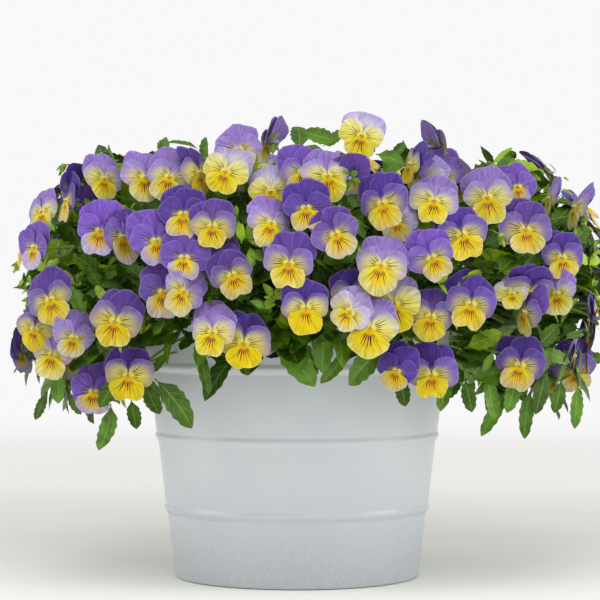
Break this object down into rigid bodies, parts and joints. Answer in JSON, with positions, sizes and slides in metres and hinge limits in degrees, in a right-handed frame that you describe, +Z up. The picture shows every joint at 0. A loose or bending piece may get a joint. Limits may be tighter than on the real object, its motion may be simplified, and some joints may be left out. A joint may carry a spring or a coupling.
{
  "type": "potted pansy planter",
  "caption": "Mound of violet, lavender and yellow viola blooms with leafy shoots in a white enamelled steel tub with raised beads.",
  "frame": {"origin": "middle of the tub's flat underside", "axes": "+Z up; the front of the planter faces -Y, and +X is to the right seen from the front"},
  "size_m": [0.4313, 0.4196, 0.3279],
  "materials": {
    "enamelled_steel": "white baked enamel on pressed sheet steel, soft gloss",
    "potting_mix": "moist peat and bark potting mix, matt and crumbly",
    "foliage": "fresh viola leaves and stems, thin and slightly waxy",
    "petals_deep": "velvety petals, dark violet above a yellow lip",
    "petals_violet": "velvety petals, bright violet round a yellow lip",
    "petals_lavender": "velvety petals, lavender fading to cream round a yellow lip",
    "petals_cream": "velvety petals, cream with a pale lavender edge round a yellow lip",
    "petals_dusk": "velvety petals, dusky purple and lavender with cream sides round a yellow lip"
  },
  "bodies": {
    "root": {"tub_wall": "enamelled_steel", "tub_base": "enamelled_steel", "potting_soil": "potting_mix", "leafy_shoot_01": "foliage", "leafy_shoot_02": "foliage", "leafy_shoot_03": "foliage", "leafy_shoot_04": "foliage", "leafy_shoot_05": "foliage", "leafy_shoot_06": "foliage", "leafy_shoot_07": "foliage", "leafy_shoot_08": "foliage", "leafy_shoot_09": "foliage", "leafy_shoot_10": "foliage", "leafy_shoot_11": "foliage", "leafy_shoot_12": "foliage", "bloom_01": "petals_cream", "bloom_02": "petals_cream", "bloom_03": "petals_lavender", "bloom_04": "petals_lavender", "bloom_05": "petals_deep", "bloom_06": "petals_violet", "bloom_07": "petals_violet", "bloom_08": "petals_violet", "bloom_09": "petals_deep", "bloom_10": "petals_deep", "bloom_11": "petals_dusk", "bloom_12": "petals_lavender", "bloom_13": "petals_deep", "bloom_14": "petals_lavender", "bloom_15": "petals_deep", "bloom_16": "petals_lavender", "bloom_17": "petals_lavender", "bloom_18": "petals_dusk", "bloom_19": "petals_deep", "bloom_20": "petals_deep", "bloom_21": "petals_deep", "bloom_22": "petals_deep", "bloom_23": "petals_dusk", "bloom_24": "petals_dusk", "bloom_25": "petals_deep", "bloom_26": "petals_violet", "bloom_27": "petals_dusk", "bloom_28": "petals_lavender", "bloom_29": "petals_deep", "bloom_30": "petals_violet", "bloom_31": "petals_lavender", "bloom_32": "petals_cream", "bloom_33": "petals_dusk", "bloom_34": "petals_deep", "bloom_35": "petals_violet", "bloom_36": "petals_lavender", "bloom_37": "petals_cream", "bloom_38": "petals_dusk", "bloom_39": "petals_deep", "bloom_40": "petals_violet", "bloom_41": "petals_lavender", "bloom_42": "petals_deep", "bloom_43": "petals_violet", "bloom_44": "petals_lavender", "bloom_45": "petals_cream"}
  },
  "joints": []
}
